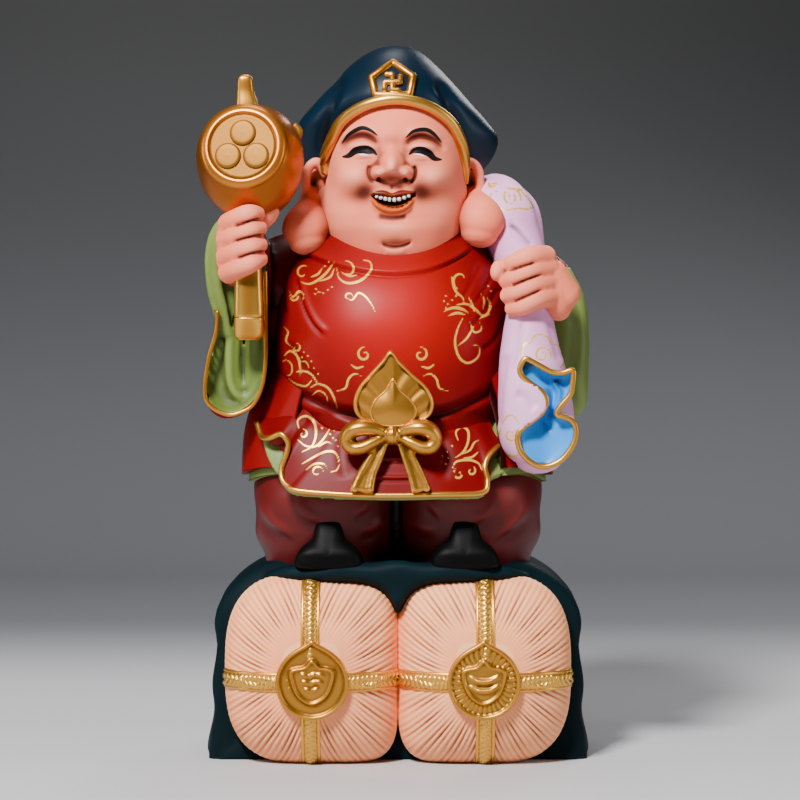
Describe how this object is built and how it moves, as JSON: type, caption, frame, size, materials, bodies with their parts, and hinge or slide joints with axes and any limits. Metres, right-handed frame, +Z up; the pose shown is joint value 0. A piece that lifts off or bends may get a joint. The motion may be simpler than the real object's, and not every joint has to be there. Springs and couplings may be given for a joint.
{
  "type": "daikoku statue",
  "caption": "Painted standing figure of Daikoku with a raised mallet and a sack over one shoulder, on rice bales under a cloth.",
  "frame": {"origin": "centre of the underside, on the surface the statue stands on, below the middle of the figure", "axes": "+Z up through the cap, -Y towards the viewer of the figure's face, +X to the viewer's right"},
  "size_m": [0.1741, 0.123, 0.32],
  "materials": {
    "robe_red": "satin red enamel on cast resin",
    "skin_paint": "matt flesh enamel, shaded in the hollows",
    "cap_blue": "satin dark blue enamel",
    "gilt_paint": "brushed gold paint with a metallic sheen",
    "lining_green": "satin green enamel",
    "trouser_maroon": "satin dark maroon enamel",
    "sack_lavender": "matt lavender enamel with painted gilt clouds",
    "sack_blue": "satin light blue enamel",
    "drape_green": "satin dark green enamel",
    "bale_straw": "matt straw pink enamel over carved grooves",
    "shoe_black": "satin black enamel",
    "teeth_white": "matt white enamel"
  },
  "bodies": {
    "root": {"daikoku_statue": "robe_red"}
  },
  "joints": []
}
